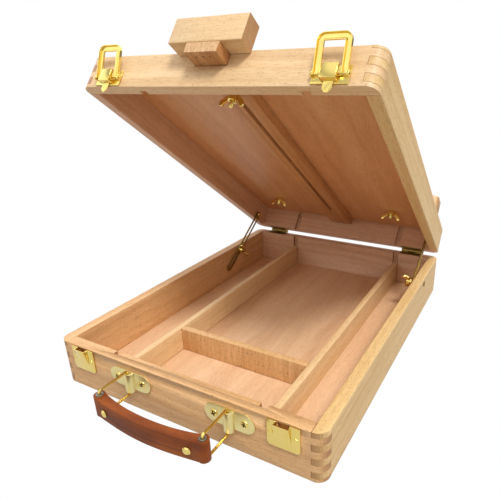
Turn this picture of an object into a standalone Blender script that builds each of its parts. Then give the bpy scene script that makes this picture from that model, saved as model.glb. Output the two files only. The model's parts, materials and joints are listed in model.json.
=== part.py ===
"""A tabletop sketch-box easel: a beech paint box whose lid props open and holds a canvas.

Metres, +Z up.  The origin is the middle of the underside, the front faces -Y.
Every piece is modelled where it lies on the closed box.  Each joint is an empty on its
axis, and the empties' angles bring the box to its open rest position.
"""
import math

import bmesh
import bpy
from mathutils import Matrix, Vector

# Driving dimensions of the box
WIDTH = 0.270
DEPTH = 0.356
WALL = 0.0105
BASE_HEIGHT = 0.0445
LID_HEIGHT = 0.030
RIM_GAP = 0.0026            # between the two rims, filled by the hinge leaves
CORNER_RADIUS = 0.0095
CLEARANCE = 0.0003          # between pieces that touch

# Angles at rest
LID_OPEN = math.radians(36.8)
LEVER_TILT = math.radians(17.0)

# Corner fingers
FINGER = 0.00613
BASE_FIRST_FINGER = 0.0029
LID_FIRST_FINGER = 0.0034

# Panels and dividers
FLOOR = 0.004
PANEL = 0.003
DIVIDER = 0.0063
DIVIDER_TOP = 0.0295
DIVIDER_X = (-0.06705, 0.08245)
CROSS_Y = (-0.0928, -0.0861)
GROOVE = 0.0069
GROOVE_DEPTH = 0.0045

# Butt hinges
HINGE_BEHIND = 0.0025
HINGE_X = 0.1004
HINGE_WIDTH = 0.026
LEAF = 0.0008
LEAF_SETBACK = 0.0016       # from the hinge axis to the leaf's flat part
KNUCKLE_RADIUS = 0.0022
KNUCKLE_MIDDLE = 0.0088     # length of the lid leaf's knuckle
KNUCKLE_BORE = 0.0012
HINGE_PIN_RADIUS = 0.0009

# Mast, the slotted board that slides out through the lid's front wall
MAST_WIDTH = 0.030
MAST_LOW = 0.0182           # heights above the lid's rim
MAST_HIGH = 0.0267
MAST_FRONT = -0.1933
MAST_REAR = 0.163
MAST_SLOT = (-0.150, 0.117)
MAST_SLOT_WIDTH = 0.0052
MAST_BOLT_Y = -0.141
CROSS_BLOCK_WIDTH = 0.067
CROSS_BLOCK_TOP = 0.0495
BRAD_PITCH = 0.0065         # three brads join the cross block to the mast
BRAD_Y = -0.1875
BRAD_LENGTH = 0.018
BRAD_SUNK = 0.0005
BRAD_HEAD_RADIUS = 0.0007
BRAD_SHANK_RADIUS = 0.0005
BRAD_HOLE_RADIUS = 0.0010

# Ledge that carries the canvas
LEDGE_WIDTH = 0.268
LEDGE_Y = (0.099, 0.125)
LEDGE_TOP = 0.0465
LEDGE_BOLT_X = 0.0795
LEDGE_BOLT_Y = 0.117

# Lid stays
STAY_X = 0.1225
STAY_THICKNESS = 0.0015
STAY_HALF_WIDTH = 0.0043
STAY_SLOT_HALF = 0.00225
STAY_END = 0.0030           # bar beyond the slot's end, to the centre of its round end
STAY_SCREW_BORE = 0.0017
STAY_BOLT = (0.102, 0.038)          # Y and Z on the base
STAY_PIVOT = (0.1434, 0.0071)       # Y and height above the lid's rim, on the lid
STAY_SLOT = (0.010, 0.0944)         # slot ends, from the pivot

# Bolts and wing nuts
SHANK_RADIUS = 0.0020
BORE_RADIUS = 0.0023
BOLT_HEAD = (0.0050, 0.0026)        # radius and height
STAY_BOLT_HEAD = (0.0033, 0.0012)
NUT_HUB_RADIUS = 0.0043
NUT_HUB_HEIGHT = 0.0060
WING_THICKNESS = 0.0018

# Lid latches and their keepers
LATCH_X = 0.102
LATCH_PIN_Y = 0.0029        # in front of the wall
LATCH_PIN_Z = 0.007         # above the lid's rim
LEVER_LENGTH = 0.0266
LEVER_HALF_WIDTH = 0.0124
LEVER_ARM = 0.005
LEVER_THICKNESS = 0.0026
LEVER_EYE_RADIUS = 0.0013
LATCH_PIN_RADIUS = 0.0006
FITTING_HALF_WIDTH = 0.0135         # of a latch plate and of a keeper
PLATE = 0.001                       # sheet of the plates
EAR = 0.0008                        # thickness of the ears that carry the latch's pin
HOOK_HALF_WIDTH = 0.00585
HOOK_FRONT = 0.0065                 # in front of the wall
KEEPER_X = 0.1031
KEEPER_Z = (0.0209, 0.0436)
KEEPER_CORNER = 0.003
POCKET_FOOT = 0.027
POCKET_DEPTH = 0.0052
POCKET_WIDTH = 0.0128
POCKET_SHEET = 0.0009
MORTISE = (0.010, 0.0345, 0.0425, 0.004)    # behind a pocket: width, bottom, top, depth

# Carrying handle
HANDLE_X = (-0.0460, 0.0565)
RING_Z = (0.0166, 0.0394)
RING_AXIS = 0.0029          # in front of the wall
RING_REACH = 0.0291
WIRE_RADIUS = 0.0012
STRAP_LENGTH = 0.046
STRAP_HEIGHT = 0.0175
STRAP_Z = 0.0298
BRIDGE_RADIUS = 0.0050              # the strap's round bridge over the ring
BRIDGE_Z = 0.0283
GRIP_Z = (0.0181, 0.0363)
GRIP_BOW = 0.0062
GRIP_HALF_THICKNESS = 0.0035
GRIP_SWELL = 0.0013                 # how much thicker, each way, where it meets its round ends
GRIP_END_RADIUS = 0.0048
GRIP_STEPS = 20
SLEEVE_RADIUS = 0.0031
RIVET_OFFSET = 0.0403
RIVET_Z = 0.0263
RIVET_HEAD_RADIUS = 0.0033
RIVET_SHANK_RADIUS = 0.0010

# Worked out from the dimensions above
HALF_WIDTH = WIDTH / 2
HALF_DEPTH = DEPTH / 2
INNER_X = HALF_WIDTH - WALL
INNER_Y = HALF_DEPTH - WALL
LID_RIM = BASE_HEIGHT + RIM_GAP
LID_TOP = LID_RIM + LID_HEIGHT
HINGE = Vector((0, HALF_DEPTH + HINGE_BEHIND, BASE_HEIGHT + RIM_GAP / 2))
FRONT = -HALF_DEPTH
PAST = 0.002                # how far a cutter runs past the faces it opens

ALONG_X = Matrix.Rotation(math.radians(90), 4, "Y")
ALONG_MINUS_X = Matrix.Rotation(math.radians(-90), 4, "Y")
ALONG_MINUS_Y = Matrix.Rotation(math.radians(90), 4, "X")
ALONG_Z = Matrix.Identity(4)
ALONG_MINUS_Z = Matrix.Rotation(math.radians(180), 4, "X")

for old in list(bpy.data.objects):
    bpy.data.objects.remove(old, do_unlink=True)

parts = bpy.data.collections.new("french_box_easel")
cutters = bpy.data.collections.new("cutters")
bpy.context.scene.collection.children.link(parts)
bpy.context.scene.collection.children.link(cutters)


def finish(name, colour, roughness, metallic=0.0):
    """A plain Principled material."""
    made = bpy.data.materials.new(name)
    made.use_nodes = True
    shader = made.node_tree.nodes["Principled BSDF"]
    shader.inputs["Base Color"].default_value = (*colour, 1)
    shader.inputs["Roughness"].default_value = roughness
    shader.inputs["Metallic"].default_value = metallic
    return made


BEECH = finish("beech", (0.62, 0.38, 0.19), 0.55)
PLYWOOD = finish("plywood", (0.58, 0.34, 0.17), 0.6)
BRASS = finish("brass", (0.80, 0.62, 0.25), 0.25, 1.0)
STEEL = finish("zinc_steel", (0.62, 0.62, 0.60), 0.35, 1.0)
LEATHER = finish("leather", (0.25, 0.07, 0.025), 0.5)
RUBBER = finish("sleeve_plastic", (0.16, 0.15, 0.14), 0.5)


# Joints and placing

def joint(name, location, turn=None, parent=None):
    """An empty on a joint's axis, turned to the joint's angle at rest."""
    empty = bpy.data.objects.new(name, None)
    empty.empty_display_size = 0.02
    parts.objects.link(empty)
    empty.location = location
    if turn is not None:
        empty.rotation_euler = turn
    ride(empty, parent)
    return empty


def ride(piece, parent):
    """Parent a piece that is placed where it lies on the closed box."""
    if parent is not None:
        piece.parent = parent
        piece.matrix_parent_inverse = Matrix.Translation(-parent.location)


def add_piece(name, mesh, material, parent=None, place=None):
    """Make a node of a mesh.  Without a place, its origin goes to the middle of the mesh."""
    piece = bpy.data.objects.new(name, mesh)
    parts.objects.link(piece)
    if place is None:
        middle = middle_of(mesh)
        mesh.transform(Matrix.Translation(-middle))
        place = Matrix.Translation(middle)
    piece.location = place.to_translation()
    piece.rotation_euler = place.to_euler()
    mesh.materials.append(material)
    mesh.shade_smooth()
    mesh.set_sharp_from_angle(angle=math.radians(35))
    ride(piece, parent)
    return piece


def middle_of(mesh):
    low = [min(vertex.co[axis] for vertex in mesh.vertices) for axis in range(3)]
    high = [max(vertex.co[axis] for vertex in mesh.vertices) for axis in range(3)]
    return (Vector(low) + Vector(high)) / 2


# Shapes

def box_mesh(low, high, rounded=0.0):
    """A box, with its upright edges rounded when a radius is given."""
    low, high = Vector(low), Vector(high)
    shape = bmesh.new()
    size = Matrix.Diagonal((high - low).to_4d())
    size[3][3] = 1.0
    bmesh.ops.create_cube(shape, size=1.0, matrix=Matrix.Translation((low + high) / 2) @ size)
    if rounded:
        upright = [edge for edge in shape.edges
                   if abs((edge.verts[0].co - edge.verts[1].co).normalized().z) > 0.99]
        bmesh.ops.bevel(shape, geom=upright, offset=rounded, segments=6, profile=0.5, affect="EDGES")
    return mesh_of(shape)


def rod_mesh(start, end, radius, sides=32):
    """A cylinder between two points."""
    start, end = Vector(start), Vector(end)
    way = end - start
    turn = way.to_track_quat("Z", "Y").to_matrix().to_4x4()
    shape = bmesh.new()
    bmesh.ops.create_cone(shape, cap_ends=True, segments=sides, radius1=radius, radius2=radius,
                          depth=way.length, matrix=Matrix.Translation((start + end) / 2) @ turn)
    return mesh_of(shape)


def mesh_of(shape):
    mesh = bpy.data.meshes.new("shape")
    shape.to_mesh(mesh)
    shape.free()
    return mesh


def slab_mesh(outline, thickness, place):
    """A flat outline, given in its own XY plane, made a slab of a thickness about that plane."""
    curve = bpy.data.curves.new("outline", "CURVE")
    curve.dimensions = "2D"
    curve.fill_mode = "BOTH"
    curve.extrude = thickness / 2
    spline = curve.splines.new("POLY")
    spline.points.add(len(outline) - 1)
    for point, (x, y) in zip(spline.points, outline):
        point.co = (x, y, 0, 1)
    spline.use_cyclic_u = True
    holder = bpy.data.objects.new("outline", curve)
    cutters.objects.link(holder)
    bpy.context.view_layer.update()
    mesh = bpy.data.meshes.new_from_object(holder.evaluated_get(bpy.context.evaluated_depsgraph_get()))
    bpy.data.objects.remove(holder, do_unlink=True)
    bpy.data.curves.remove(curve)
    shape = bmesh.new()
    shape.from_mesh(mesh)
    bmesh.ops.remove_doubles(shape, verts=shape.verts, dist=0.000001)
    bmesh.ops.recalc_face_normals(shape, faces=shape.faces)
    shape.to_mesh(mesh)
    shape.free()
    mesh.transform(place)
    return mesh


def arc(centre, radius, first, last, steps=8):
    """Points on an arc, with its angles in degrees."""
    angles = [math.radians(first + (last - first) * step / steps) for step in range(steps + 1)]
    return [(centre[0] + radius * math.cos(angle), centre[1] + radius * math.sin(angle))
            for angle in angles]


def slot_outline(first, last, half_width, steps=8):
    """A slot along X with round ends centred on first and last."""
    return (arc((last, 0), half_width, -90, 90, steps)
            + arc((first, 0), half_width, 90, 270, steps))


def cut(piece, mesh, operation="DIFFERENCE"):
    """Cut a mesh out of a piece, or join it on with a union.  Both lie on the closed box."""
    tool = bpy.data.objects.new(piece.name + "_cutter", mesh)
    cutters.objects.link(tool)
    tool.hide_render = True
    tool.display_type = "WIRE"
    ride(tool, piece.parent)
    step = piece.modifiers.new(operation.lower(), "BOOLEAN")
    step.operation = operation
    step.object = tool


def join(piece, mesh):
    cut(piece, mesh, "UNION")


def turned(name, profile, material, place, parent=None, steps=24):
    """A turned piece: radius and height pairs from the top down, spun about its own Z axis."""
    mesh = bpy.data.meshes.new(name)
    points = [(radius, 0, height) for radius, height in profile]
    mesh.from_pydata(points, [(index, index + 1) for index in range(len(points) - 1)], [])
    piece = add_piece(name, mesh, material, parent, place)
    spin = piece.modifiers.new("spin", "SCREW")
    spin.steps = steps
    spin.render_steps = steps
    spin.use_merge_vertices = True
    spin.merge_threshold = 0.00001
    return piece


# The two frames of walls

def finger_rows(first, height):
    """Heights between which the side walls' fingers show on the front and rear."""
    rows = []
    low = first
    while low < height:
        rows.append((low, low + FINGER))
        low += 2 * FINGER
    return rows


def gaps_between(rows):
    """Heights between which the front and rear walls' fingers show."""
    edges = [-PAST] + [edge for row in rows for edge in row] + [BASE_HEIGHT + PAST]
    return [(edges[i], edges[i + 1]) for i in range(0, len(edges), 2) if edges[i] < edges[i + 1]]


def wall_frame(name, bottom, height, first_finger, groove, parent=None):
    """Four finger-jointed walls with round outer corners, grooved for the dividers."""
    rows = finger_rows(first_finger, height)
    top = bottom + height
    walls = {}
    for label, side in (("front", -1), ("rear", 1)):
        outer = side * (HALF_DEPTH + PAST)
        inner = side * INNER_Y
        wall = add_piece(f"{name}_{label}_wall",
                         box_mesh((-HALF_WIDTH - PAST, min(inner, outer), bottom),
                                  (HALF_WIDTH + PAST, max(inner, outer), top)), BEECH, parent)
        for end in (-1, 1):
            near = end * (INNER_X - CLEARANCE)
            far = end * (HALF_WIDTH + 2 * PAST)
            for low, high in rows:
                cut(wall, box_mesh(
                    (min(near, far), min(inner, outer) - PAST, bottom + low - CLEARANCE / 2),
                    (max(near, far), max(inner, outer) + PAST, bottom + high + CLEARANCE / 2)))
        for x in DIVIDER_X:
            back = side * (INNER_Y + GROOVE_DEPTH)
            front = side * (INNER_Y - PAST)
            cut(wall, box_mesh((x - GROOVE / 2, min(back, front), groove[0]),
                               (x + GROOVE / 2, max(back, front), groove[1])))
        walls[label] = wall
    for label, side in (("left", -1), ("right", 1)):
        outer = side * (HALF_WIDTH + PAST)
        inner = side * INNER_X
        wall = add_piece(f"{name}_{label}_wall",
                         box_mesh((min(inner, outer), -HALF_DEPTH - PAST, bottom),
                                  (max(inner, outer), HALF_DEPTH + PAST, top)), BEECH, parent)
        for end in (-1, 1):
            near = end * (INNER_Y - CLEARANCE)
            far = end * (HALF_DEPTH + 2 * PAST)
            for low, high in gaps_between(rows):
                cut(wall, box_mesh(
                    (min(inner, outer) - PAST, min(near, far), bottom + low - CLEARANCE / 2),
                    (max(inner, outer) + PAST, max(near, far), bottom + high + CLEARANCE / 2)))
        walls[label] = wall
    for wall in walls.values():
        block = box_mesh((-HALF_WIDTH, -HALF_DEPTH, bottom - PAST),
                         (HALF_WIDTH, HALF_DEPTH, top + PAST), rounded=CORNER_RADIUS)
        cut(wall, block, "INTERSECT")
    return walls


# Fasteners

def bolt(name, head_at, length, direction, parent, head=BOLT_HEAD):
    """A dome-headed bolt whose head stands up from head_at along the direction."""
    radius, height = head
    chamfer = 0.0004
    dome = [(radius * math.sin(math.radians(angle)), height * math.cos(math.radians(angle)))
            for angle in range(0, 90, 18)]
    shank = [(radius, 0), (SHANK_RADIUS, 0), (SHANK_RADIUS, -length + chamfer),
             (SHANK_RADIUS - chamfer, -length), (0, -length)]
    turned(name, dome + shank, BRASS, Matrix.Translation(head_at) @ direction, parent)


def wing_nut(name, seat, direction, parent):
    """A wing nut whose round foot sits at seat and whose wings rise along the direction."""
    half = [(0.0030, 0.0012), (0.0070, 0.0020), (0.0110, 0.0055), (0.0120, 0.0085),
            (0.0110, 0.0105), (0.0090, 0.0105), (0.0065, 0.0070), (0.0030, 0.0052)]
    outline = half + [(-x, y) for x, y in reversed(half)]
    upright = Matrix.Rotation(math.radians(90), 4, "X")
    place = Matrix.Translation(seat) @ direction
    hub = rod_mesh((0, 0, 0), (0, 0, NUT_HUB_HEIGHT), NUT_HUB_RADIUS, 28)
    hub.transform(place)
    nut = add_piece(name, hub, BRASS, parent)
    join(nut, slab_mesh(outline, WING_THICKNESS, place @ upright))
    bore = rod_mesh((0, 0, -PAST), (0, 0, NUT_HUB_HEIGHT + PAST), BORE_RADIUS, 24)
    bore.transform(place)
    cut(nut, bore)


# The base

base_walls = wall_frame("base", 0, BASE_HEIGHT, BASE_FIRST_FINGER, (FLOOR, BASE_HEIGHT + PAST))
for side in (-1, 1):
    wall = base_walls["left" if side < 0 else "right"]
    cut(wall, rod_mesh((side * (INNER_X - PAST), *STAY_BOLT), (side * (HALF_WIDTH + PAST), *STAY_BOLT),
                       BORE_RADIUS, 24))
    middle = side * KEEPER_X
    width, bottom, top, depth = MORTISE
    cut(base_walls["front"], box_mesh((middle - width / 2, FRONT - PAST, bottom),
                                      (middle + width / 2, FRONT + depth, top)))

add_piece("base_floor",
          box_mesh((-INNER_X + CLEARANCE, -INNER_Y + CLEARANCE, 0),
                   (INNER_X - CLEARANCE, INNER_Y - CLEARANCE, FLOOR)), PLYWOOD)

for label, x in zip(("left", "right"), DIVIDER_X):
    reach = INNER_Y + GROOVE_DEPTH - CLEARANCE
    add_piece(f"divider_{label}",
              box_mesh((x - DIVIDER / 2, -reach, FLOOR + CLEARANCE),
                       (x + DIVIDER / 2, reach, DIVIDER_TOP)), BEECH)
add_piece("cross_divider",
          box_mesh((DIVIDER_X[0] + DIVIDER / 2 + CLEARANCE, CROSS_Y[0], FLOOR + CLEARANCE),
                   (DIVIDER_X[1] - DIVIDER / 2 - CLEARANCE, CROSS_Y[1], DIVIDER_TOP - CLEARANCE)),
          BEECH)


# The lid turns on the hinge axis

lid = joint("lid_axis", HINGE, (-LID_OPEN, 0, 0))
lid_walls = wall_frame("lid", LID_RIM, LID_HEIGHT, LID_FIRST_FINGER,
                       (LID_RIM - PAST, LID_TOP - PANEL), lid)
cut(lid_walls["front"], box_mesh((-MAST_WIDTH / 2 - 0.0005, FRONT - PAST, LID_RIM + MAST_LOW - 0.0006),
                                 (MAST_WIDTH / 2 + 0.0005, -INNER_Y + PAST,
                                  LID_RIM + MAST_HIGH + 0.0005)))

panel = add_piece("lid_panel",
                  box_mesh((-INNER_X + CLEARANCE, -INNER_Y + CLEARANCE, LID_TOP - PANEL),
                           (INNER_X - CLEARANCE, INNER_Y - CLEARANCE, LID_TOP)), PLYWOOD, lid)
for x, y in ((0, MAST_BOLT_Y), (-LEDGE_BOLT_X, LEDGE_BOLT_Y), (LEDGE_BOLT_X, LEDGE_BOLT_Y)):
    cut(panel, rod_mesh((x, y, LID_TOP - PANEL - PAST), (x, y, LID_TOP + PAST), BORE_RADIUS, 24))


# Butt hinges

def hinge_leaf(name, x, low, outer_knuckles, parent):
    """A leaf lying on its rim, with its share of the three knuckles."""
    half = HINGE_WIDTH / 2
    middle = KNUCKLE_MIDDLE / 2
    near = HINGE.y - KNUCKLE_RADIUS - 0.0005
    leaf = add_piece(name, box_mesh((x - half, INNER_Y + 0.0005, low),
                                    (x + half, HINGE.y - LEAF_SETBACK, low + LEAF)), BRASS, parent)
    if outer_knuckles:
        spans = ((-half, -middle), (middle, half))
        notches = ((-middle, middle),)
    else:
        spans = ((-middle + CLEARANCE, middle - CLEARANCE),)
        notches = ((-half - PAST, -middle + CLEARANCE), (middle - CLEARANCE, half + PAST))
    for first, last in notches:
        cut(leaf, box_mesh((x + first, near, low - PAST / 2), (x + last, HINGE.y, low + LEAF + PAST / 2)))
    for first, last in spans:
        join(leaf, rod_mesh((x + first, HINGE.y, HINGE.z), (x + last, HINGE.y, HINGE.z),
                            KNUCKLE_RADIUS, 20))
    cut(leaf, rod_mesh((x - half - PAST, HINGE.y, HINGE.z), (x + half + PAST, HINGE.y, HINGE.z),
                       KNUCKLE_BORE, 16))


for label, side in (("left", -1), ("right", 1)):
    x = side * HINGE_X
    hinge_leaf(f"hinge_base_leaf_{label}", x, BASE_HEIGHT + CLEARANCE, True, None)
    hinge_leaf(f"hinge_lid_leaf_{label}", x, LID_RIM - CLEARANCE - LEAF, False, lid)
    end = HINGE_WIDTH / 2 + 0.0004
    profile = [(0, end), (HINGE_PIN_RADIUS, end), (HINGE_PIN_RADIUS, -end), (0, -end)]
    turned(f"hinge_pin_{label}", profile, STEEL, Matrix.Translation((x, HINGE.y, HINGE.z)) @ ALONG_X,
           steps=16)


# Mast, cross block and the bolt that clamps them

mast_slide = joint("mast_slide", (0, MAST_FRONT, LID_RIM + MAST_LOW), parent=lid)
mast_middle = (MAST_LOW + MAST_HIGH) / 2
mast = add_piece("mast", box_mesh((-MAST_WIDTH / 2, MAST_FRONT, LID_RIM + MAST_LOW),
                                  (MAST_WIDTH / 2, MAST_REAR, LID_RIM + MAST_HIGH)), BEECH, mast_slide)
quarter = Matrix.Rotation(math.radians(90), 4, "Z")
cut(mast, slab_mesh(slot_outline(*MAST_SLOT, MAST_SLOT_WIDTH / 2), MAST_HIGH - MAST_LOW + 2 * PAST,
                    Matrix.Translation((0, 0, LID_RIM + mast_middle)) @ quarter))

cross_block = add_piece("cross_block",
                        box_mesh((-CROSS_BLOCK_WIDTH / 2, MAST_FRONT, LID_RIM + MAST_HIGH + CLEARANCE),
                                 (CROSS_BLOCK_WIDTH / 2, FRONT - 0.0004, LID_RIM + CROSS_BLOCK_TOP)),
                        BEECH, mast_slide)
for number, x in enumerate((-BRAD_PITCH, 0, BRAD_PITCH), start=1):
    seat = Vector((x, BRAD_Y, LID_RIM + MAST_LOW + BRAD_SUNK))
    tip = seat + Vector((0, 0, BRAD_LENGTH + 2 * CLEARANCE))
    for target in (mast, cross_block):
        cut(target, rod_mesh(seat - Vector((0, 0, PAST)), tip, BRAD_HOLE_RADIUS, 16))
    profile = [(0, 0), (BRAD_HEAD_RADIUS, 0), (BRAD_HEAD_RADIUS, -0.0006), (BRAD_SHANK_RADIUS, -0.0006),
               (BRAD_SHANK_RADIUS, -BRAD_LENGTH + 0.001), (0, -BRAD_LENGTH)]
    turned(f"mast_brad_{number}", profile, STEEL, Matrix.Translation(seat) @ ALONG_MINUS_Z,
           mast_slide, 16)

bolt("mast_bolt", (0, MAST_BOLT_Y, LID_TOP + CLEARANCE), 0.024, ALONG_Z, lid)
mast_nut = joint("mast_nut_axis", (0, MAST_BOLT_Y, LID_RIM + MAST_LOW), parent=lid)
wing_nut("mast_wing_nut", (0, MAST_BOLT_Y, LID_RIM + MAST_LOW - CLEARANCE), ALONG_MINUS_Z, mast_nut)


# Ledge

ledge = add_piece("ledge", box_mesh((-LEDGE_WIDTH / 2, LEDGE_Y[0], LID_TOP + CLEARANCE),
                                    (LEDGE_WIDTH / 2, LEDGE_Y[1], LID_RIM + LEDGE_TOP),
                                    rounded=0.006), BEECH, lid)
for label, x in (("left", -LEDGE_BOLT_X), ("right", LEDGE_BOLT_X)):
    cut(ledge, rod_mesh((x, LEDGE_BOLT_Y, LID_TOP - PAST), (x, LEDGE_BOLT_Y, LID_RIM + LEDGE_TOP + PAST),
                        BORE_RADIUS, 24))
    bolt(f"ledge_bolt_{label}", (x, LEDGE_BOLT_Y, LID_RIM + LEDGE_TOP + CLEARANCE), 0.029, ALONG_Z, lid)
    axis = joint(f"ledge_nut_axis_{label}", (x, LEDGE_BOLT_Y, LID_TOP - PANEL), parent=lid)
    wing_nut(f"ledge_wing_nut_{label}", (x, LEDGE_BOLT_Y, LID_TOP - PANEL - CLEARANCE),
             ALONG_MINUS_Z, axis)


# Lid stays: a slotted bar slides on a bolt through the base's side wall

def lid_point(y, above_rim):
    """World Y and Z, at rest, of a point given on the closed lid."""
    turn = Matrix.Rotation(-LID_OPEN, 3, "X")
    return HINGE + turn @ (Vector((0, y, LID_RIM + above_rim)) - HINGE)


pivot = lid_point(*STAY_PIVOT)
bolt_point = Vector((0, *STAY_BOLT))
STAY_REACH = (pivot - bolt_point).length
STAY_ANGLE = math.atan2(pivot.z - bolt_point.z, pivot.y - bolt_point.y)
for label, side in (("left", -1), ("right", 1)):
    axis = joint(f"stay_axis_{label}", (side * STAY_X, *STAY_BOLT), (STAY_ANGLE, 0, 0))
    # The bar lies along +Y from the bolt before its axis turns it.
    pivot_y = STAY_BOLT[0] + STAY_REACH
    flat = Matrix.Translation((side * STAY_X, pivot_y, STAY_BOLT[1])) @ Matrix(
        ((0, 0, 1, 0), (-1, 0, 0, 0), (0, -1, 0, 0), (0, 0, 0, 1)))
    bar = add_piece(f"stay_bar_{label}",
                    slab_mesh(slot_outline(0, STAY_SLOT[1] + STAY_END, STAY_HALF_WIDTH),
                              STAY_THICKNESS, flat), BRASS, axis)
    cut(bar, slab_mesh(slot_outline(*STAY_SLOT, STAY_SLOT_HALF), STAY_THICKNESS + PAST, flat))
    cut(bar, rod_mesh((side * STAY_X - PAST, pivot_y, STAY_BOLT[1]),
                      (side * STAY_X + PAST, pivot_y, STAY_BOLT[1]), STAY_SCREW_BORE, 20))
    outward, inward = (ALONG_X, ALONG_MINUS_X) if side > 0 else (ALONG_MINUS_X, ALONG_X)
    inner_face = side * (STAY_X - STAY_THICKNESS / 2 - CLEARANCE)
    turned(f"stay_screw_{label}",
           [(0, 0.0016), (0.0022, 0.0012), (0.0034, 0), (0.0014, 0), (0.0014, -0.0026), (0, -0.0026)],
           BRASS, Matrix.Translation((inner_face, pivot_y, STAY_BOLT[1])) @ inward, axis, 20)
    bolt(f"stay_bolt_{label}", (side * (HALF_WIDTH + CLEARANCE), *STAY_BOLT), 0.022, outward, axis,
         STAY_BOLT_HEAD)
    nut_axis = joint(f"stay_nut_axis_{label}", (inner_face, *STAY_BOLT), parent=axis)
    wing_nut(f"stay_wing_nut_{label}", (inner_face, *STAY_BOLT), inward, nut_axis)


# Latches on the lid's front wall

plate_face = FRONT - CLEARANCE - PLATE
pin_y = FRONT - LATCH_PIN_Y
pin_z = LID_RIM + LATCH_PIN_Z
for label, side in (("left", -1), ("right", 1)):
    x = side * LATCH_X
    half = FITTING_HALF_WIDTH
    plate = add_piece(f"latch_plate_{label}",
                      box_mesh((x - half, plate_face, LID_RIM + 0.0008),
                               (x + half, plate_face + PLATE, LID_RIM + 0.0145)), BRASS, lid)
    for end in (-1, 1):
        outer = x + end * half
        inner = x + end * (half - EAR)
        join(plate, box_mesh((min(inner, outer), pin_y - 0.0015, pin_z - 0.0022),
                             (max(inner, outer), plate_face + PLATE / 2, pin_z + 0.0022)))
    cut(plate, rod_mesh((x - half - PAST, pin_y, pin_z), (x + half + PAST, pin_y, pin_z),
                        LATCH_PIN_RADIUS + CLEARANCE, 16))
    under_head = half + CLEARANCE
    profile = [(0, under_head + 0.0008), (0.0010, under_head + 0.0007), (0.0010, under_head),
               (LATCH_PIN_RADIUS, under_head)]
    turned(f"latch_pin_{label}", profile + [(radius, -reach) for radius, reach in reversed(profile)],
           BRASS, Matrix.Translation((x, pin_y, pin_z)) @ ALONG_X, lid, 16)

    # The lever lies flat against the lid before its axis tilts it: a frame with a window.
    axis = joint(f"latch_axis_{label}", (x, pin_y, pin_z), (LEVER_TILT, 0, 0), lid)
    corner = 0.0045
    wide = LEVER_HALF_WIDTH
    arm = wide - LEVER_ARM
    outline = ([(-wide, 0), (-arm, 0), (-arm, LEVER_LENGTH - 0.0085), (-arm + 0.0025, LEVER_LENGTH - 0.006),
                (arm - 0.0025, LEVER_LENGTH - 0.006), (arm, LEVER_LENGTH - 0.0085), (arm, 0), (wide, 0)]
               + arc((wide - corner, LEVER_LENGTH - corner), corner, 0, 90, 5)
               + arc((-wide + corner, LEVER_LENGTH - corner), corner, 90, 180, 5))
    facing = Matrix.Translation((x, pin_y - 0.0001, pin_z)) @ Matrix.Rotation(math.radians(90), 4, "X")
    lever = add_piece(f"latch_lever_{label}", slab_mesh(outline, LEVER_THICKNESS, facing), BRASS, axis)
    for end in (-1, 1):
        join(lever, rod_mesh((x + end * arm, pin_y, pin_z), (x + end * wide, pin_y, pin_z),
                             LEVER_EYE_RADIUS, 24))
    cut(lever, rod_mesh((x - wide - PAST, pin_y, pin_z), (x + wide + PAST, pin_y, pin_z),
                        LATCH_PIN_RADIUS + CLEARANCE, 16))

    # The hook slides down and up behind the lever's window.
    hook_axis = joint(f"latch_hook_slide_{label}", (x, pin_y, pin_z), parent=lid)
    front_face = FRONT - HOOK_FRONT
    hook = add_piece(f"latch_hook_{label}",
                     box_mesh((x - HOOK_HALF_WIDTH, front_face, LID_RIM + 0.002),
                              (x + HOOK_HALF_WIDTH, front_face + 0.0012, LID_RIM + 0.013)),
                     BRASS, hook_axis)
    for end in (-1, 1):
        outer = x + end * HOOK_HALF_WIDTH
        inner = x + end * (HOOK_HALF_WIDTH - PLATE)
        join(hook, box_mesh((min(inner, outer), front_face + 0.0006, LID_RIM + 0.002),
                            (max(inner, outer), FRONT - 0.0040, LID_RIM + 0.0130)))
    join(hook, box_mesh((x - HOOK_HALF_WIDTH, front_face + 0.0003, LID_RIM + 0.002),
                        (x + HOOK_HALF_WIDTH, FRONT - 0.0016, LID_RIM + 0.0032)))
    tongue = [(-0.0035, 0.0026), (-0.0035, -0.0035), (-0.0010, -0.0063), (0.0010, -0.0063),
              (0.0035, -0.0035), (0.0035, 0.0026)]
    join(hook, slab_mesh(tongue, 0.0008, Matrix.Translation((x, FRONT - 0.0020, LID_RIM))
                         @ Matrix.Rotation(math.radians(90), 4, "X")))


# Keepers on the base's front wall

for label, side in (("left", -1), ("right", 1)):
    x = side * KEEPER_X
    half = FITTING_HALF_WIDTH
    corner = KEEPER_CORNER
    outline = ([(half, KEEPER_Z[1]), (-half, KEEPER_Z[1])]
               + arc((-half + corner, KEEPER_Z[0] + corner), corner, 180, 270, 4)
               + arc((half - corner, KEEPER_Z[0] + corner), corner, 270, 360, 4))
    facing = Matrix.Translation((x, plate_face + PLATE / 2, 0)) @ Matrix.Rotation(
        math.radians(90), 4, "X")
    keeper = add_piece(f"keeper_{label}", slab_mesh(outline, PLATE, facing), BRASS)
    top = KEEPER_Z[1] - 0.0002
    side_on = Matrix.Translation((x, 0, 0)) @ Matrix(
        ((0, 0, 1, 0), (1, 0, 0, 0), (0, 1, 0, 0), (0, 0, 0, 1)))
    wedge = [(plate_face + PLATE / 2, POCKET_FOOT - 0.001), (plate_face + PLATE / 2, top),
             (FRONT - POCKET_DEPTH, top)]
    join(keeper, slab_mesh(wedge, POCKET_WIDTH, side_on))
    hollow = [(FRONT + PAST / 2, POCKET_FOOT + 0.0045), (FRONT + PAST / 2, top + PAST),
              (FRONT - POCKET_DEPTH + POCKET_SHEET - 0.0006, top + PAST),
              (FRONT - POCKET_DEPTH + POCKET_SHEET, top), (plate_face, POCKET_FOOT + 0.0035)]
    cut(keeper, slab_mesh(hollow, POCKET_WIDTH - 2 * POCKET_SHEET, side_on))


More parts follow.
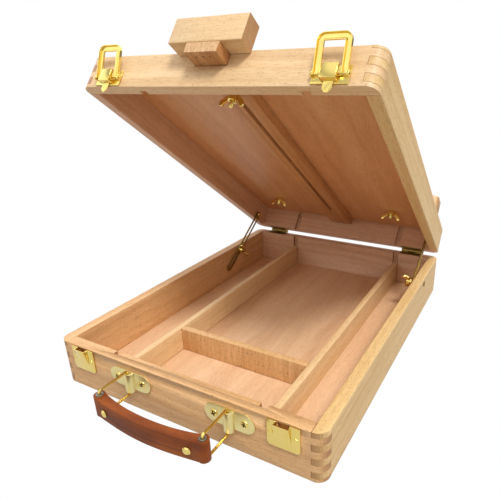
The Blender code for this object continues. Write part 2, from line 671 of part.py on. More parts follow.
# Carrying handle: two wire rings on straps, and a leather grip between them

def ring_wire(x):
    """The rectangular ring's middle line, with round corners, in the plane X = x."""
    near = FRONT - RING_AXIS
    far = near - RING_REACH
    bend = 0.0018
    corners = ((near - bend, RING_Z[0] + bend, -90, 0), (near - bend, RING_Z[1] - bend, 0, 90),
               (far + bend, RING_Z[1] - bend, 90, 180), (far + bend, RING_Z[0] + bend, 180, 270))
    points = []
    for y, z, first, last in corners:
        points += [(x, py, pz) for py, pz in arc((y, z), bend, first, last, 4)]
    return points


def wire_piece(name, points, radius, material, parent):
    curve = bpy.data.curves.new(name, "CURVE")
    curve.dimensions = "3D"
    curve.bevel_depth = radius
    curve.bevel_resolution = 2
    spline = curve.splines.new("POLY")
    spline.points.add(len(points) - 1)
    for point, place in zip(spline.points, points):
        point.co = (*(Vector(place) - parent.location), 1)
    spline.use_cyclic_u = True
    piece = bpy.data.objects.new(name, curve)
    curve.materials.append(material)
    parts.objects.link(piece)
    piece.location = parent.location
    ride(piece, parent)
    return piece


ring_axis_y = FRONT - RING_AXIS
leg_y = ring_axis_y - RING_REACH
ring_joints = {}
for label, x in zip(("left", "right"), HANDLE_X):
    strap_y = FRONT - CLEARANCE - PLATE / 2
    outline = slot_outline(x - (STRAP_LENGTH - STRAP_HEIGHT) / 2, x + (STRAP_LENGTH - STRAP_HEIGHT) / 2,
                           STRAP_HEIGHT / 2)
    strap = add_piece(f"handle_plate_{label}",
                      slab_mesh(outline, PLATE, Matrix.Translation((0, strap_y, STRAP_Z))
                                @ Matrix.Rotation(math.radians(90), 4, "X")), BRASS)
    join(strap, slab_mesh(arc((x, strap_y), BRIDGE_RADIUS, 180, 360, 12),
                          STRAP_HEIGHT + 0.0009, Matrix.Translation((0, 0, BRIDGE_Z))))
    cut(strap, rod_mesh((x, ring_axis_y, 0.015), (x, ring_axis_y, 0.042),
                        WIRE_RADIUS + CLEARANCE, 20))
    ring = joint(f"ring_axis_{label}", (x, ring_axis_y, STRAP_Z))
    wire_piece(f"handle_ring_{label}", ring_wire(x), WIRE_RADIUS, BRASS, ring)
    ring_joints[label] = ring

grip_joint = joint("grip_axis", (HANDLE_X[0], leg_y, STRAP_Z), parent=ring_joints["left"])
grip_length = HANDLE_X[1] - HANDLE_X[0]


def grip_bow(along):
    """How far the grip bows out, with along running from -1 to 1 over its length."""
    return GRIP_BOW * (1 - along ** 2)


def grip_half(along):
    """Half the grip's thickness: it swells towards its round ends."""
    return GRIP_HALF_THICKNESS + GRIP_SWELL * along ** 4


def grip_face(side):
    """The front (-1) or back (1) of the grip, as a line in plan."""
    points = []
    for step in range(GRIP_STEPS + 1):
        along = 2 * step / GRIP_STEPS - 1
        points.append((HANDLE_X[0] + grip_length * step / GRIP_STEPS,
                       leg_y - grip_bow(along) + side * grip_half(along)))
    return points


grip_height = GRIP_Z[1] - GRIP_Z[0]
level = Matrix.Translation((0, 0, (GRIP_Z[0] + GRIP_Z[1]) / 2))
outline = grip_face(-1) + list(reversed(grip_face(1)))
grip = add_piece("leather_grip", slab_mesh(outline, grip_height - 0.001, level), LEATHER, grip_joint)
for x in HANDLE_X:
    join(grip, rod_mesh((x, leg_y, GRIP_Z[0]), (x, leg_y, GRIP_Z[1]), GRIP_END_RADIUS, 28))
for label, x in zip(("left", "right"), HANDLE_X):
    cut(grip, rod_mesh((x, leg_y, GRIP_Z[0] - PAST), (x, leg_y, GRIP_Z[1] + PAST),
                       SLEEVE_RADIUS + CLEARANCE, 24))
    sleeve = add_piece(f"handle_sleeve_{label}",
                       rod_mesh((x, leg_y, GRIP_Z[0] + 0.0005), (x, leg_y, GRIP_Z[1] + 0.0004),
                                SLEEVE_RADIUS, 24), RUBBER, grip_joint)
    cut(sleeve, rod_mesh((x, leg_y, GRIP_Z[0] - PAST), (x, leg_y, GRIP_Z[1] + PAST),
                         WIRE_RADIUS + CLEARANCE, 20))

handle_middle = sum(HANDLE_X) / 2
for label, side in (("left", -1), ("right", 1)):
    along = side * RIVET_OFFSET / (grip_length / 2)
    slope = 4 * GRIP_BOW * along / grip_length
    square = Matrix.Rotation(math.atan(slope), 4, "Z")      # square to the bowed grip
    place = Matrix.Translation((handle_middle + side * RIVET_OFFSET, leg_y - grip_bow(along), RIVET_Z))
    hole = rod_mesh((0, -0.01, 0), (0, 0.01, 0), RIVET_SHANK_RADIUS + CLEARANCE, 16)
    hole.transform(place @ square)
    cut(grip, hole)
    reach = grip_half(along) + 0.0006
    turned(f"grip_rivet_{label}",
           [(0, reach + 0.0013), (0.0012, reach + 0.0012), (0.0024, reach + 0.0008),
            (RIVET_HEAD_RADIUS, reach), (RIVET_SHANK_RADIUS, reach), (RIVET_SHANK_RADIUS, -reach),
            (0.0020, -reach), (0.0020, -reach - 0.0006), (0, -reach - 0.0006)],
           BRASS, place @ square @ ALONG_MINUS_Y, grip_joint, 20)

bpy.context.view_layer.update()
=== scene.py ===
# %% [markdown]
# # A tabletop sketch-box easel
# A beech paint box whose lid props open on two slotted brass stays.  The lid carries a ledge
# and a sliding mast, so it becomes the easel.  The frame gives every wooden board and fitting
# at its real size and place.  This script gives them eased edges, wood grain, polished brass
# and a leather handle, and adds 12 screws and pins that are too small for the frame.

# %% Load the frame
import json
import math

import bmesh
import bpy
from mathutils import Matrix, Vector


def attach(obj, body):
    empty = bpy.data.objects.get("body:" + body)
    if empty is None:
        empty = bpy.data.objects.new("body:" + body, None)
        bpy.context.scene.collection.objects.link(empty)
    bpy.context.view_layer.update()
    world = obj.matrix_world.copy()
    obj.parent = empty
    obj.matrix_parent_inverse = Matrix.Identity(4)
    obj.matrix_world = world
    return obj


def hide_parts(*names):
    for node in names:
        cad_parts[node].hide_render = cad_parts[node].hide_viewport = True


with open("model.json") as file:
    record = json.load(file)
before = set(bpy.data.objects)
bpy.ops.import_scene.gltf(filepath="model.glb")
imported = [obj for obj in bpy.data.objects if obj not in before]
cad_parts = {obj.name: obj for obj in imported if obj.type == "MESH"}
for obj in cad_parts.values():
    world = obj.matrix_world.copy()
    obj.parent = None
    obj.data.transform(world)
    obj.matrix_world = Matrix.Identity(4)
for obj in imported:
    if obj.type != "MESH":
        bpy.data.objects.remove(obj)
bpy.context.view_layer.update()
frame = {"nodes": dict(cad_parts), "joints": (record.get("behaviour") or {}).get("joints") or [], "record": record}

MM = 0.001
SIDES = ("left", "right")
nodes = frame["nodes"]

# %% [markdown]
# ## Directions
# The base stands square to the world.  The lid leans back on its hinge, so everything on it
# is laid out along the lid's own directions: along it towards its front, and up out of it.
# The lean could be typed in, but it is measured from the ledge's face, whose direction the
# record gives, so that it always agrees with the frame.

# %% Lid directions
X, Y, Z = Vector((1, 0, 0)), Vector((0, 1, 0)), Vector((0, 0, 1))
ledge_mount = next(m for m in frame["record"]["mounts"] if m["name"] == "canvas_ledge")
LID_ALONG = Vector(ledge_mount["axis"]).normalized()
LID_UP = LID_ALONG.cross(X)
joint_place = {j["name"]: Vector(j["pos_m"]) for j in frame["joints"] if "pos_m" in j}
hinge = joint_place["lid_hinge"]
RIM_HALF_GAP = 1.3 * MM
print("the lid leans", round(math.degrees(math.acos(LID_UP.z)), 1), "degrees")


def on_lid(x, y, height):
    """World place of a point of the closed lid: Y from the box's middle, height above the rim."""
    along = hinge.y - y
    return hinge + X * x + LID_ALONG * along + LID_UP * (height + RIM_HALF_GAP)


# %% [markdown]
# ## Camera
# The box is looked at from its front right corner and from above, by a lens of moderate length.
# A camera looks down its own minus Z, so its matrix is built from where it looks, with a small
# roll.  That is easier to read than three rotation angles.

# %% Camera
YAW, PITCH, ROLL = (math.radians(a) for a in (29.013, -21.972, -1.2095))
CAMERA_PLACE = (0.2300, -0.3982, 0.2713)
LENS_MM, SENSOR_MM = 33.13, 36
SHIFT = (-0.0722, 0.0128)
ahead = Vector((-math.sin(YAW) * math.cos(PITCH), math.cos(YAW) * math.cos(PITCH),
                math.sin(PITCH)))
level_right = Vector((math.cos(YAW), math.sin(YAW), 0))
level_up = level_right.cross(ahead)
view_x = level_right * math.cos(ROLL) + level_up * math.sin(ROLL)
view_y = level_up * math.cos(ROLL) - level_right * math.sin(ROLL)
lens = bpy.data.cameras.new("camera")
lens.sensor_width = SENSOR_MM
lens.lens = LENS_MM
lens.shift_x, lens.shift_y = SHIFT
lens.clip_start = 10 * MM
camera = bpy.data.objects.new("camera", lens)
bpy.context.scene.collection.objects.link(camera)
camera.matrix_world = (Matrix.Translation(CAMERA_PLACE)
                       @ Matrix((view_x, view_y, -ahead)).transposed().to_4x4())
bpy.context.scene.camera = camera
print("camera", round((Vector(CAMERA_PLACE) - hinge).length, 3), "m from the hinge")

# %% [markdown]
# ## Colours and nodes
# A finish is a small tree of shader nodes.  Colours are written as sRGB hex codes, as paint
# charts give them, and one function turns them into the linear light that Blender works in.
# One more function adds a node with its settings and links.

# %% Colour and node helpers
def srgb(code):
    """An sRGB hex colour as linear red, green, blue and alpha."""
    channels = [int(code[i:i + 2], 16) / 255 for i in (1, 3, 5)]
    linear = [c / 12.92 if c <= 0.04045 else ((c + 0.055) / 1.055) ** 2.4 for c in channels]
    return (*linear, 1.0)


def add(tree, kind, stops=(), **values):
    """Add a shader node and return its outputs.

    A lower-case name is a setting of the node.  A capitalised name, or a number such as _0, is
    an input: a socket is linked to it, a hex code is set as a colour, and anything else is set
    as it is.  stops are a colour ramp's places and hex codes.
    """
    node = tree.nodes.new("ShaderNode" + kind)
    for name, value in values.items():
        if name[0].islower():
            setattr(node, name, value)
    for name, value in values.items():
        if name[0].islower():
            continue
        socket = node.inputs[int(name[1:]) if name[0] == "_" else name.replace("_", " ")]
        if isinstance(value, bpy.types.NodeSocket):
            tree.links.new(value, socket)
        else:
            socket.default_value = srgb(value) if isinstance(value, str) else value
    if stops:
        elements = node.color_ramp.elements
        while len(elements) < len(stops):
            elements.new(0.5)
        for element, (place, code) in zip(elements, stops):
            element.position = place
            element.color = srgb(code)
    return node.outputs


def new_material(name, **shader_inputs):
    """A material, its tree and its Principled shader, with plain inputs on their own sockets."""
    material = bpy.data.materials.new(name)
    material.use_nodes = True
    shader = material.node_tree.nodes["Principled BSDF"]
    for key, value in shader_inputs.items():
        value = srgb(value) if isinstance(value, str) else value
        shader.inputs[key.replace("_", " ")].default_value = value
    return material, material.node_tree, shader


def per_mm(*steps):
    """Steps of a pattern in each millimetre, on each axis, for a place given in metres."""
    return [step / MM for step in steps]


print("white is", srgb("#FFFFFF"))

# %% [markdown]
# ## Floor and light
# The box stands in a plain white studio.  A white floor would also throw white light up into
# the wood and wash it out.  So the floor is white only where the eye or a polished face meets
# it, and matt grey paint to every other ray, which gives the soft dark of real contact.
#
# Light comes from one broad lamp at the right and above, and from a sky that is bright overhead
# and dim at table height.  The sawn rims and the right side are bright and the front is a shade
# darker.  A plain sky would make brass look like yellow paint, so metal mirrors a sky of light
# and dark bands, as it would between a studio's lamps.

# %% Floor
FLOOR_HALF_SIZE = 30.0
FLOOR_DROP = 0.5 * MM
WHITE_IN_METAL = 0.7
floor_material, tree, shader = new_material("matt_table_paint", Base_Color="#A19D97",
                                            Roughness=0.9)
ray = add(tree, "LightPath")
mirrored = add(tree, "Math", operation="MULTIPLY", _0=ray["Is Glossy Ray"],
               _1=WHITE_IN_METAL)[0]
seen = add(tree, "Math", operation="ADD", use_clamp=True, _0=ray["Is Camera Ray"],
           _1=mirrored)[0]
glow = add(tree, "Emission", Color="#FFFFFF", Strength=1.0)[0]
cut_out = add(tree, "MixShader", _0=seen, _1=shader.outputs[0], _2=glow)[0]
tree.links.new(cut_out, tree.nodes["Material Output"].inputs["Surface"])
shape = bmesh.new()
bmesh.ops.create_grid(shape, x_segments=1, y_segments=1, size=FLOOR_HALF_SIZE)
floor_mesh = bpy.data.meshes.new("floor")
shape.to_mesh(floor_mesh)
shape.free()
floor = bpy.data.objects.new("floor", floor_mesh)
floor.location.z = -FLOOR_DROP
floor_mesh.materials.append(floor_material)
bpy.context.scene.collection.objects.link(floor)
print("floor laid", FLOOR_DROP / MM, "mm under the box")

# %% Sky and lamp
LOW_SKY, HIGH_SKY, SKY_TOP = 0.22, 1.22, 0.95
BANDS = [(0.0, "#3A3A3A"), (0.16, "#6E6E6E"), (0.30, "#FFFFFF"), (0.62, "#FFFFFF"),
         (0.74, "#8C8C8C"), (0.90, "#E8E8E8")]
BAND_STRENGTH = 1.5
LAMP_TOWARDS, LAMP_POWER, LAMP_WIDTH = Vector((0.42, -0.24, 0.88)), 1.85, math.radians(16)
world = bpy.data.worlds.new("studio")
world.use_nodes = True
tree = world.node_tree
direction = add(tree, "TexCoord")["Generated"]
height = add(tree, "SeparateXYZ", _0=direction)["Z"]
overhead = add(tree, "MapRange", interpolation_type="SMOOTHSTEP", Value=height, From_Min=0.0,
               From_Max=SKY_TOP, To_Min=LOW_SKY, To_Max=HIGH_SKY)[0]
bands = add(tree, "ValToRGB", stops=BANDS, _0=height)["Color"]
in_metal = add(tree, "Math", operation="MULTIPLY", _0=bands, _1=BAND_STRENGTH)[0]
ray = add(tree, "LightPath")
strength = add(tree, "Mix", data_type="FLOAT", _0=ray["Is Glossy Ray"], _2=overhead,
               _3=in_metal)[0]
strength = add(tree, "Mix", data_type="FLOAT", _0=ray["Is Camera Ray"], _2=strength, _3=1.0)[0]
background = tree.nodes["Background"]
tree.links.new(strength, background.inputs["Strength"])
background.inputs["Color"].default_value = srgb("#FFFFFF")
bpy.context.scene.world = world
bpy.context.scene.view_settings.view_transform = "Standard"

lamp = bpy.data.lights.new("key", "SUN")
lamp.energy = LAMP_POWER
lamp.angle = LAMP_WIDTH
lamp_stand = bpy.data.objects.new("key", lamp)
lamp_stand.rotation_euler = LAMP_TOWARDS.to_track_quat("Z", "Y").to_euler()
bpy.context.scene.collection.objects.link(lamp_stand)
print("sky and one broad lamp")

# %% [markdown]
# ## Pieces
# A piece here starts as a bmesh, Blender's mesh under construction.  It may be a copy of a frame
# node, so that it has the node's exact size, or a new shape.  Either way it is closed, shaded
# smooth except at its real corners, and told which body it rides on.

# %% Make a piece
MERGE_WITHIN = 0.001 * MM
FLAT_WITHIN, CORNER, BEVEL_CORNER = (math.radians(a) for a in (0.6, 38, 32))
body_of_node = {node: body for body, held in frame["record"]["behaviour"]["bodies"].items()
                for node in held}
print(len(body_of_node), "nodes have a body")


def solid_copy(node):
    """The node's mesh with split corners welded and its flat faces made whole."""
    shape = bmesh.new()
    shape.from_mesh(nodes[node].data)
    bmesh.ops.remove_doubles(shape, verts=shape.verts, dist=MERGE_WITHIN)
    bmesh.ops.dissolve_limit(shape, angle_limit=FLAT_WITHIN, verts=shape.verts,
                             edges=shape.edges)
    return shape


def bevel_edges(shape, width, longer_than, segments):
    """Round the sharp edges that are longer than a given length."""
    sharp = [e for e in shape.edges if len(e.link_faces) == 2
             and e.calc_face_angle(0) > BEVEL_CORNER and e.calc_length() > longer_than]
    if sharp and width > 0:
        bmesh.ops.bevel(shape, geom=sharp, offset=width, segments=segments, profile=0.5,
                        affect="EDGES", clamp_overlap=True)


def solid_object(shape, name):
    """Turn a shape into an object in the scene, with its faces turned outwards."""
    mesh = bpy.data.meshes.new(name)
    bmesh.ops.recalc_face_normals(shape, faces=shape.faces)
    shape.to_mesh(mesh)
    shape.free()
    made = bpy.data.objects.new(name, mesh)
    bpy.context.scene.collection.objects.link(made)
    return made


def piece_of(shape, name, material, slot_name, *replaced):
    """Make a piece of a shape and let it stand for frame nodes and ride on their body."""
    piece = solid_object(shape, name)
    piece.data.materials.append(material)
    piece.data.shade_smooth()
    piece.data.set_sharp_from_angle(angle=CORNER)
    if replaced:
        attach(piece, body_of_node[replaced[0]])
        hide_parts(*replaced)
    return piece


# %% [markdown]
# ## Beech and plywood
# The box is planed beech, oiled thin.  Beech is a pale, pinkish tan with faint growth streaks,
# fine darker pores, and the short brown flecks that tell it from other woods.  Sanding leaves
# it satin, so its roughness is near one half.  Where a saw has cut across the fibres the end
# grain drinks oil and goes darker.  The panels are plywood with a broad, rotary-cut figure.
#
# A flat print of wood would smear on the edges.  Solid noise works better: it is sampled at each
# point's place in its board, measured along, across and through the grain, and it is drawn out
# long along the grain.  Real pores are about 0.1 mm across and flecks half a millimetre, too
# fine to show here, so both are drawn about 0.8 mm across.

# %% Wood material
PORES_PER_MM, FLECKS_PER_MM = 1.3, 1.25
PORE_START, PORE_SHARP, PORE_DARK = 0.50, 3.5, 0.48
FLECK_SIZE, FLECK_SHARP = 0.44, 9.0
FIBRE_ROUGH = 0.16          # how much rougher a fibre is than the wood beside it


def wood_material(name, light, middle, dark, pore, end, streak_mm=6.0, flecks=0.35, ends=0.7,
                  figure=0.75, roughness=0.5, end_dark=None):
    """Growth streaks, pores and flecks laid along the board's own grain."""
    material, tree, shader = new_material(name, IOR=1.5, Coat_Weight=0.05, Coat_Roughness=0.35)
    grain = add(tree, "Attribute", attribute_name="grain")["Vector"]
    end_mark = add(tree, "Attribute", attribute_name="end_grain")["Fac"]

    # The fibres sway a little from side to side along the board
    place = add(tree, "Mapping", Vector=grain, Scale=per_mm(0.010, 0.03, 0.03))[0]
    sway = add(tree, "TexNoise", Vector=place, Scale=1.0, Detail=1.0)["Color"]
    sway_width = 1.6 * streak_mm * MM
    swayed = add(tree, "VectorMath", operation="MULTIPLY_ADD", _0=sway,
                 _1=(0.0, sway_width, sway_width), _2=grain)[0]

    # Growth streaks
    place = add(tree, "Mapping", Vector=swayed,
                Scale=per_mm(0.004, 1 / streak_mm, 1 / streak_mm))[0]
    streaks = add(tree, "TexNoise", Vector=place, Scale=1.0, Detail=5, Roughness=0.62)["Fac"]
    colour = add(tree, "ValToRGB", _0=streaks, stops=[
        (0.5 - figure * 0.4, light), (0.5, middle), (0.5 + figure * 0.4, dark)])["Color"]

    # Pores
    place = add(tree, "Mapping", Vector=swayed, Scale=per_mm(0.10, PORES_PER_MM, PORES_PER_MM))[0]
    fibres = add(tree, "TexNoise", Vector=place, Scale=1.0, Detail=3, Roughness=0.7)["Fac"]
    line = add(tree, "Math", operation="SUBTRACT", _0=fibres, _1=PORE_START)[0]
    line = add(tree, "Math", operation="MULTIPLY", use_clamp=True, _0=line, _1=PORE_SHARP)[0]
    line = add(tree, "Math", operation="MULTIPLY", _0=line, _1=PORE_DARK)[0]
    colour = add(tree, "Mix", data_type="RGBA", _0=line, _6=colour, _7=pore)[2]

    # Flecks: long cells, each with its own chance of being dark at its middle
    place = add(tree, "Mapping", Vector=swayed, Scale=per_mm(0.24, FLECKS_PER_MM, FLECKS_PER_MM))[0]
    cells = add(tree, "TexVoronoi", feature="F1", Vector=place, Scale=1.0, Randomness=1.0)
    chance = add(tree, "SeparateColor", _0=cells["Color"])[0]
    spread = add(tree, "Math", operation="MULTIPLY", _0=chance, _1=FLECK_SIZE)[0]
    fleck = add(tree, "Math", operation="SUBTRACT", _0=spread, _1=cells["Distance"])[0]
    fleck = add(tree, "Math", operation="MULTIPLY", use_clamp=True, _0=fleck,
                _1=FLECK_SHARP)[0]
    long_grain = add(tree, "Math", operation="SUBTRACT", _0=1.0, _1=end_mark)[0]
    fleck = add(tree, "Math", operation="MULTIPLY", _0=fleck, _1=long_grain)[0]
    fleck = add(tree, "Math", operation="MULTIPLY", _0=fleck, _1=flecks)[0]
    colour = add(tree, "Mix", data_type="RGBA", _0=fleck, _6=colour, _7=pore)[2]

    # End grain
    place = add(tree, "Mapping", Vector=grain, Scale=per_mm(0.02, 0.9, 0.25))[0]
    rings = add(tree, "TexNoise", Vector=place, Scale=1.0, Detail=3, Roughness=0.6)["Fac"]
    end_colour = add(tree, "ValToRGB", _0=rings, stops=[
        (0.35, end), (0.70, end_dark or pore)])["Color"]
    shown = add(tree, "Math", operation="MULTIPLY", _0=end_mark, _1=ends)[0]
    colour = add(tree, "Mix", data_type="RGBA", _0=shown, _6=colour, _7=end_colour)[2]
    tree.links.new(colour, shader.inputs["Base Color"])

    # Fibres are a little rougher than the wood between them, and stand in fine grooves
    rough = add(tree, "Math", operation="MULTIPLY", _0=fibres, _1=FIBRE_ROUGH)[0]
    rough = add(tree, "Math", operation="ADD", _0=rough, _1=roughness - FIBRE_ROUGH / 2)[0]
    tree.links.new(rough, shader.inputs["Roughness"])
    groove = add(tree, "Math", operation="MULTIPLY", _0=fibres, _1=-0.6)[0]
    relief = add(tree, "Bump", Height=groove, Distance=0.05 * MM, Strength=0.5)[0]
    tree.links.new(relief, shader.inputs["Normal"])
    return material


# %% Woods of the box
# Pale boards for the dividers, the block and the ledge
beech = wood_material("oiled_beech", "#F3D6A6", "#EAC592", "#D9AC74", "#A06A35", "#AE7642")
# A darker copy of the beech for the front and left walls, with the shade on their faces painted in
shaded_front_beech = wood_material("shade_toned_beech", "#F0C793", "#E3B37C", "#CB965E", "#7D4A22", "#A36C3C")
# The palest board, whose end grain is painted light, as the bright light on the lid washes it out
lid_beech = wood_material("pale_lit_beech", "#F1D3A4", "#E9C493", "#D8AC78", "#A56D36", "#DDB484",
                          ends=0.15)
# Yellower boards, as beech looks in warm light
side_beech = wood_material("golden_beech", "#EFCF97", "#E2BC80", "#CD9F60", "#94622C", "#9C6638")
# The same yellower boards for the lid's sides, their end grain painted light in the same way
lit_lid_side_beech = wood_material("golden_lit_lid_beech", "#EFCF97", "#E2BC80", "#CD9F60", "#94622C",
                               "#DDB27C", ends=0.15)
# Steamed beech is pinker
rosy_beech = wood_material("rosy_beech", "#EFC6A0", "#E1B28B", "#C9956E", "#8F5B39", "#B07B50")
# The mast is flat sawn, so its streaks are wide; its wood is darker, partly as painted shade under the lid, and
# its end grain is painted pale where light falls on its front end
shaded_mast_beech = wood_material("flat_sawn_shaded_beech", "#DEA86F", "#CB9159", "#AC713E", "#70401E",
                           "#EBC596", streak_mm=9.0, ends=0.85, figure=0.6, end_dark="#C08A58")
# The cross divider has tight streaks and strong flecks
figured_beech = wood_material("figured_beech", "#EDC693", "#E0B27B", "#C8955E", "#7E4C28",
                              "#A8743F", streak_mm=3.5, flecks=0.6, ends=0.0)
# Rotary-cut veneer has the widest figure; the lid's is varnished, so it is smoother
floor_ply = wood_material("floor_plywood", "#EFCBA4", "#E4BC92", "#D2A47B", "#A87148", "#B5824D",
                          streak_mm=16.0, flecks=0.22, roughness=0.55)
# The lid's plywood is darker than the floor's, with the shade under the lid painted in
lid_ply = wood_material("shaded_lid_plywood", "#E7B381", "#DA9F6B", "#C78A54", "#804C27", "#B5824D",
                        streak_mm=18.0, flecks=0.22, roughness=0.42)
print("10 wood finishes")

# %% [markdown]
# ## Boards
# A sawn and sanded board never has knife-sharp edges.  Each board is copied from the frame and
# its edges are eased: a wide rounding on the long edges that a hand touches and a fine one at
# the joints.  The grain is then written into the mesh as an attribute, so that it turns with the
# board, and each board is cut from another place in the log.  Faces across the fibres are marked
# as end grain.

# %% Grain
def write_grain(mesh, along, across, offset):
    """Store each point's place in the board, and mark the faces that show end grain."""
    through = along.cross(across)
    place = mesh.attributes.new("grain", "FLOAT_VECTOR", "POINT")
    for vertex, entry in zip(mesh.vertices, place.data):
        entry.vector = Vector((vertex.co.dot(along), vertex.co.dot(across),
                               vertex.co.dot(through))) + offset
    end = mesh.attributes.new("end_grain", "FLOAT", "FACE")
    for face, entry in zip(mesh.polygons, end.data):
        entry.value = max(0.0, abs(face.normal.dot(along)) * 2 - 1)


# %% Boards of the box and the lid
LONG_EDGE, LONG_EASE = 40 * MM, 0.8 * MM
SHORT_EDGE, SHORT_EASE = 12 * MM, 0.18 * MM
NEXT_CUT = Vector((0.31, 0.083, 0.057))
# Each board's node, the directions along and across its grain, and its wood
BOARDS = [
    ("base_front_wall", X, Z, shaded_front_beech), ("base_rear_wall", X, Z, rosy_beech),
    ("base_left_wall", Y, Z, shaded_front_beech), ("base_right_wall", Y, Z, side_beech),
    ("divider_left", Y, Z, beech), ("divider_right", Y, Z, beech),
    ("cross_divider", Z, X, figured_beech), ("base_floor", Y, X, floor_ply),
    ("lid_front_wall", X, LID_UP, lid_beech), ("lid_rear_wall", X, LID_UP, rosy_beech),
    ("lid_left_wall", LID_ALONG, LID_UP, rosy_beech),
    ("lid_right_wall", LID_ALONG, LID_UP, lit_lid_side_beech),
    ("lid_panel", LID_ALONG, X, lid_ply), ("mast", LID_ALONG, X, shaded_mast_beech),
    ("cross_block", X, LID_UP, beech), ("ledge", X, LID_UP, beech),
]
slot_of = {entry["node"]: entry["material_slot"] for entry in frame["record"]["subparts"]}

for number, (node, along, across, wood) in enumerate(BOARDS):
    shape = solid_copy(node)
    bevel_edges(shape, LONG_EASE, LONG_EDGE, 3)
    bevel_edges(shape, SHORT_EASE, SHORT_EDGE, 1)
    board = piece_of(shape, node + "_board", wood, slot_of[node], node)
    write_grain(board.data, along, across, NEXT_CUT * number)
print(len(BOARDS), "boards")

# %% [markdown]
# ## Brass and steel
# The fittings are stamped from brass sheet, polished and lacquered.  Polished brass mirrors the
# room, so its colour comes from the metal's tint and its shape from soft reflections.  Lacquer
# and years of fingers leave it uneven, which is a slow change in tint and roughness.  The fine
# scratches of polishing are far too small to show, so they are drawn about 0.4 mm across.

# %% Metal material
CLOUDS_PER_MM, SCRATCHES_PER_MM = 0.12, 2.4
CLOUD_TINT, CLOUD_ROUGH, BUFFED = 0.5, 0.14, 0.05


def metal_material(name, tint, deep, roughness):
    """A metal whose tint and polish drift slowly over its surface."""
    material, tree, shader = new_material(name, Metallic=1.0)
    place = add(tree, "TexCoord")["Object"]
    spot = add(tree, "Mapping", Vector=place,
               Scale=per_mm(CLOUDS_PER_MM, CLOUDS_PER_MM, CLOUDS_PER_MM))[0]
    cloud = add(tree, "TexNoise", Vector=spot, Scale=1.0, Detail=3, Roughness=0.5)["Fac"]
    deepened = add(tree, "Math", operation="MULTIPLY", _0=cloud, _1=CLOUD_TINT)[0]
    colour = add(tree, "Mix", data_type="RGBA", _0=deepened, _6=tint, _7=deep)[2]
    tree.links.new(colour, shader.inputs["Base Color"])
    rough = add(tree, "Math", operation="MULTIPLY", _0=cloud, _1=CLOUD_ROUGH)[0]
    rough = add(tree, "Math", operation="ADD", _0=rough, _1=roughness - BUFFED)[0]
    tree.links.new(rough, shader.inputs["Roughness"])
    spot = add(tree, "Mapping", Vector=place,
               Scale=per_mm(SCRATCHES_PER_MM, SCRATCHES_PER_MM, 0.5))[0]
    scratch = add(tree, "TexNoise", Vector=spot, Scale=1.0, Detail=2, Roughness=0.5)["Fac"]
    relief = add(tree, "Bump", Height=scratch, Distance=0.01 * MM, Strength=0.35)[0]
    tree.links.new(relief, shader.inputs["Normal"])
    return material


# Buffed brass is bright and warm
brass = metal_material("polished_brass", "#F3DC86", "#DDB955", 0.20)
# The straps have a paler satin finish that spreads the light
strap_brass = metal_material("satin_brass", "#EFE0A0", "#DDC981", 0.34)
# Unlacquered brass goes brown
aged_brass = metal_material("aged_brass", "#A88A48", "#5E4520", 0.30)
# A darker, duller brass paints the shade in the screws' crosses
shaded_recess_brass = metal_material("shaded_recess_brass", "#5A4519", "#33260E", 0.5)
# Zinc plating is a soft grey
steel = metal_material("zinc_plated_steel", "#C9C8C2", "#A5A49E", 0.34)
print("5 metal finishes")

# %% Brass fittings carried over from the frame
# How far each fitting's edges are eased, in mm, and its metal
PAIRED_FITTINGS = {
    "hinge_base_leaf": (0.15, aged_brass), "hinge_lid_leaf": (0.15, aged_brass),
    "keeper": (0.25, brass), "handle_plate": (0.3, strap_brass), "latch_plate": (0.2, brass),
    "latch_hook": (0.25, brass), "stay_bar": (0.3, aged_brass), "stay_bolt": (0.0, aged_brass),
    "stay_screw": (0.0, brass), "stay_wing_nut": (0.4, brass), "ledge_wing_nut": (0.4, brass),
    "ledge_bolt": (0.0, brass),
}
fittings = [(f"{stem}_{label}", *finish) for stem, finish in PAIRED_FITTINGS.items()
            for label in SIDES]
fittings += [("mast_bolt", 0.0, brass), ("mast_wing_nut", 0.4, brass)]
TINY_EDGE = 0.5 * MM
for node, ease_mm, metal in fittings:
    shape = solid_copy(node)
    bevel_edges(shape, ease_mm * MM, TINY_EDGE, 2)
    piece_of(shape, node + "_brass", metal, "brass", node)
print(len(fittings), "brass fittings")

# %% Pins, brads, rings and rivets
# These have the right shape in the frame already, so they only get a better material
DRESSED = {
    "hinge_pin_left": steel, "hinge_pin_right": steel,
    "mast_brad_1": steel, "mast_brad_2": steel, "mast_brad_3": steel,
    "handle_ring_left": brass, "handle_ring_right": brass,
    "latch_pin_left": brass, "latch_pin_right": brass,
    "grip_rivet_left": brass, "grip_rivet_right": brass,
}


def dress(node, material):
    """Give a frame node that stays as it is a better material."""
    for held in nodes[node].material_slots:
        held.material = material


for node, metal in DRESSED.items():
    dress(node, metal)
print(len(DRESSED), "nodes dressed in metal")

# %% [markdown]
# ## Latch levers
# Each lever is pressed from sheet: a rounded frame dished like a tray, with a tall outer wall and
# a low lip round its window.  The dish makes it stiff, and its slopes catch the light.  A flat
# frame with a bevel has no such slopes, so the dish's section is swept along the frame's middle
# line, from one end of the latch's pin round to the other.  Then the pin's eye is bored.

# %% Cutting
def cut_away(shape, tool_shape):
    """A shape with another one cut out of it."""
    blank, tool = solid_object(shape, "blank"), solid_object(tool_shape, "tool")
    cut = blank.modifiers.new("cut", "BOOLEAN")
    cut.object = tool
    cut.use_self = True
    bpy.context.view_layer.update()
    left = bmesh.new()
    left.from_object(blank, bpy.context.evaluated_depsgraph_get())
    for used in (blank, tool):
        bpy.data.objects.remove(used, do_unlink=True)
    return left


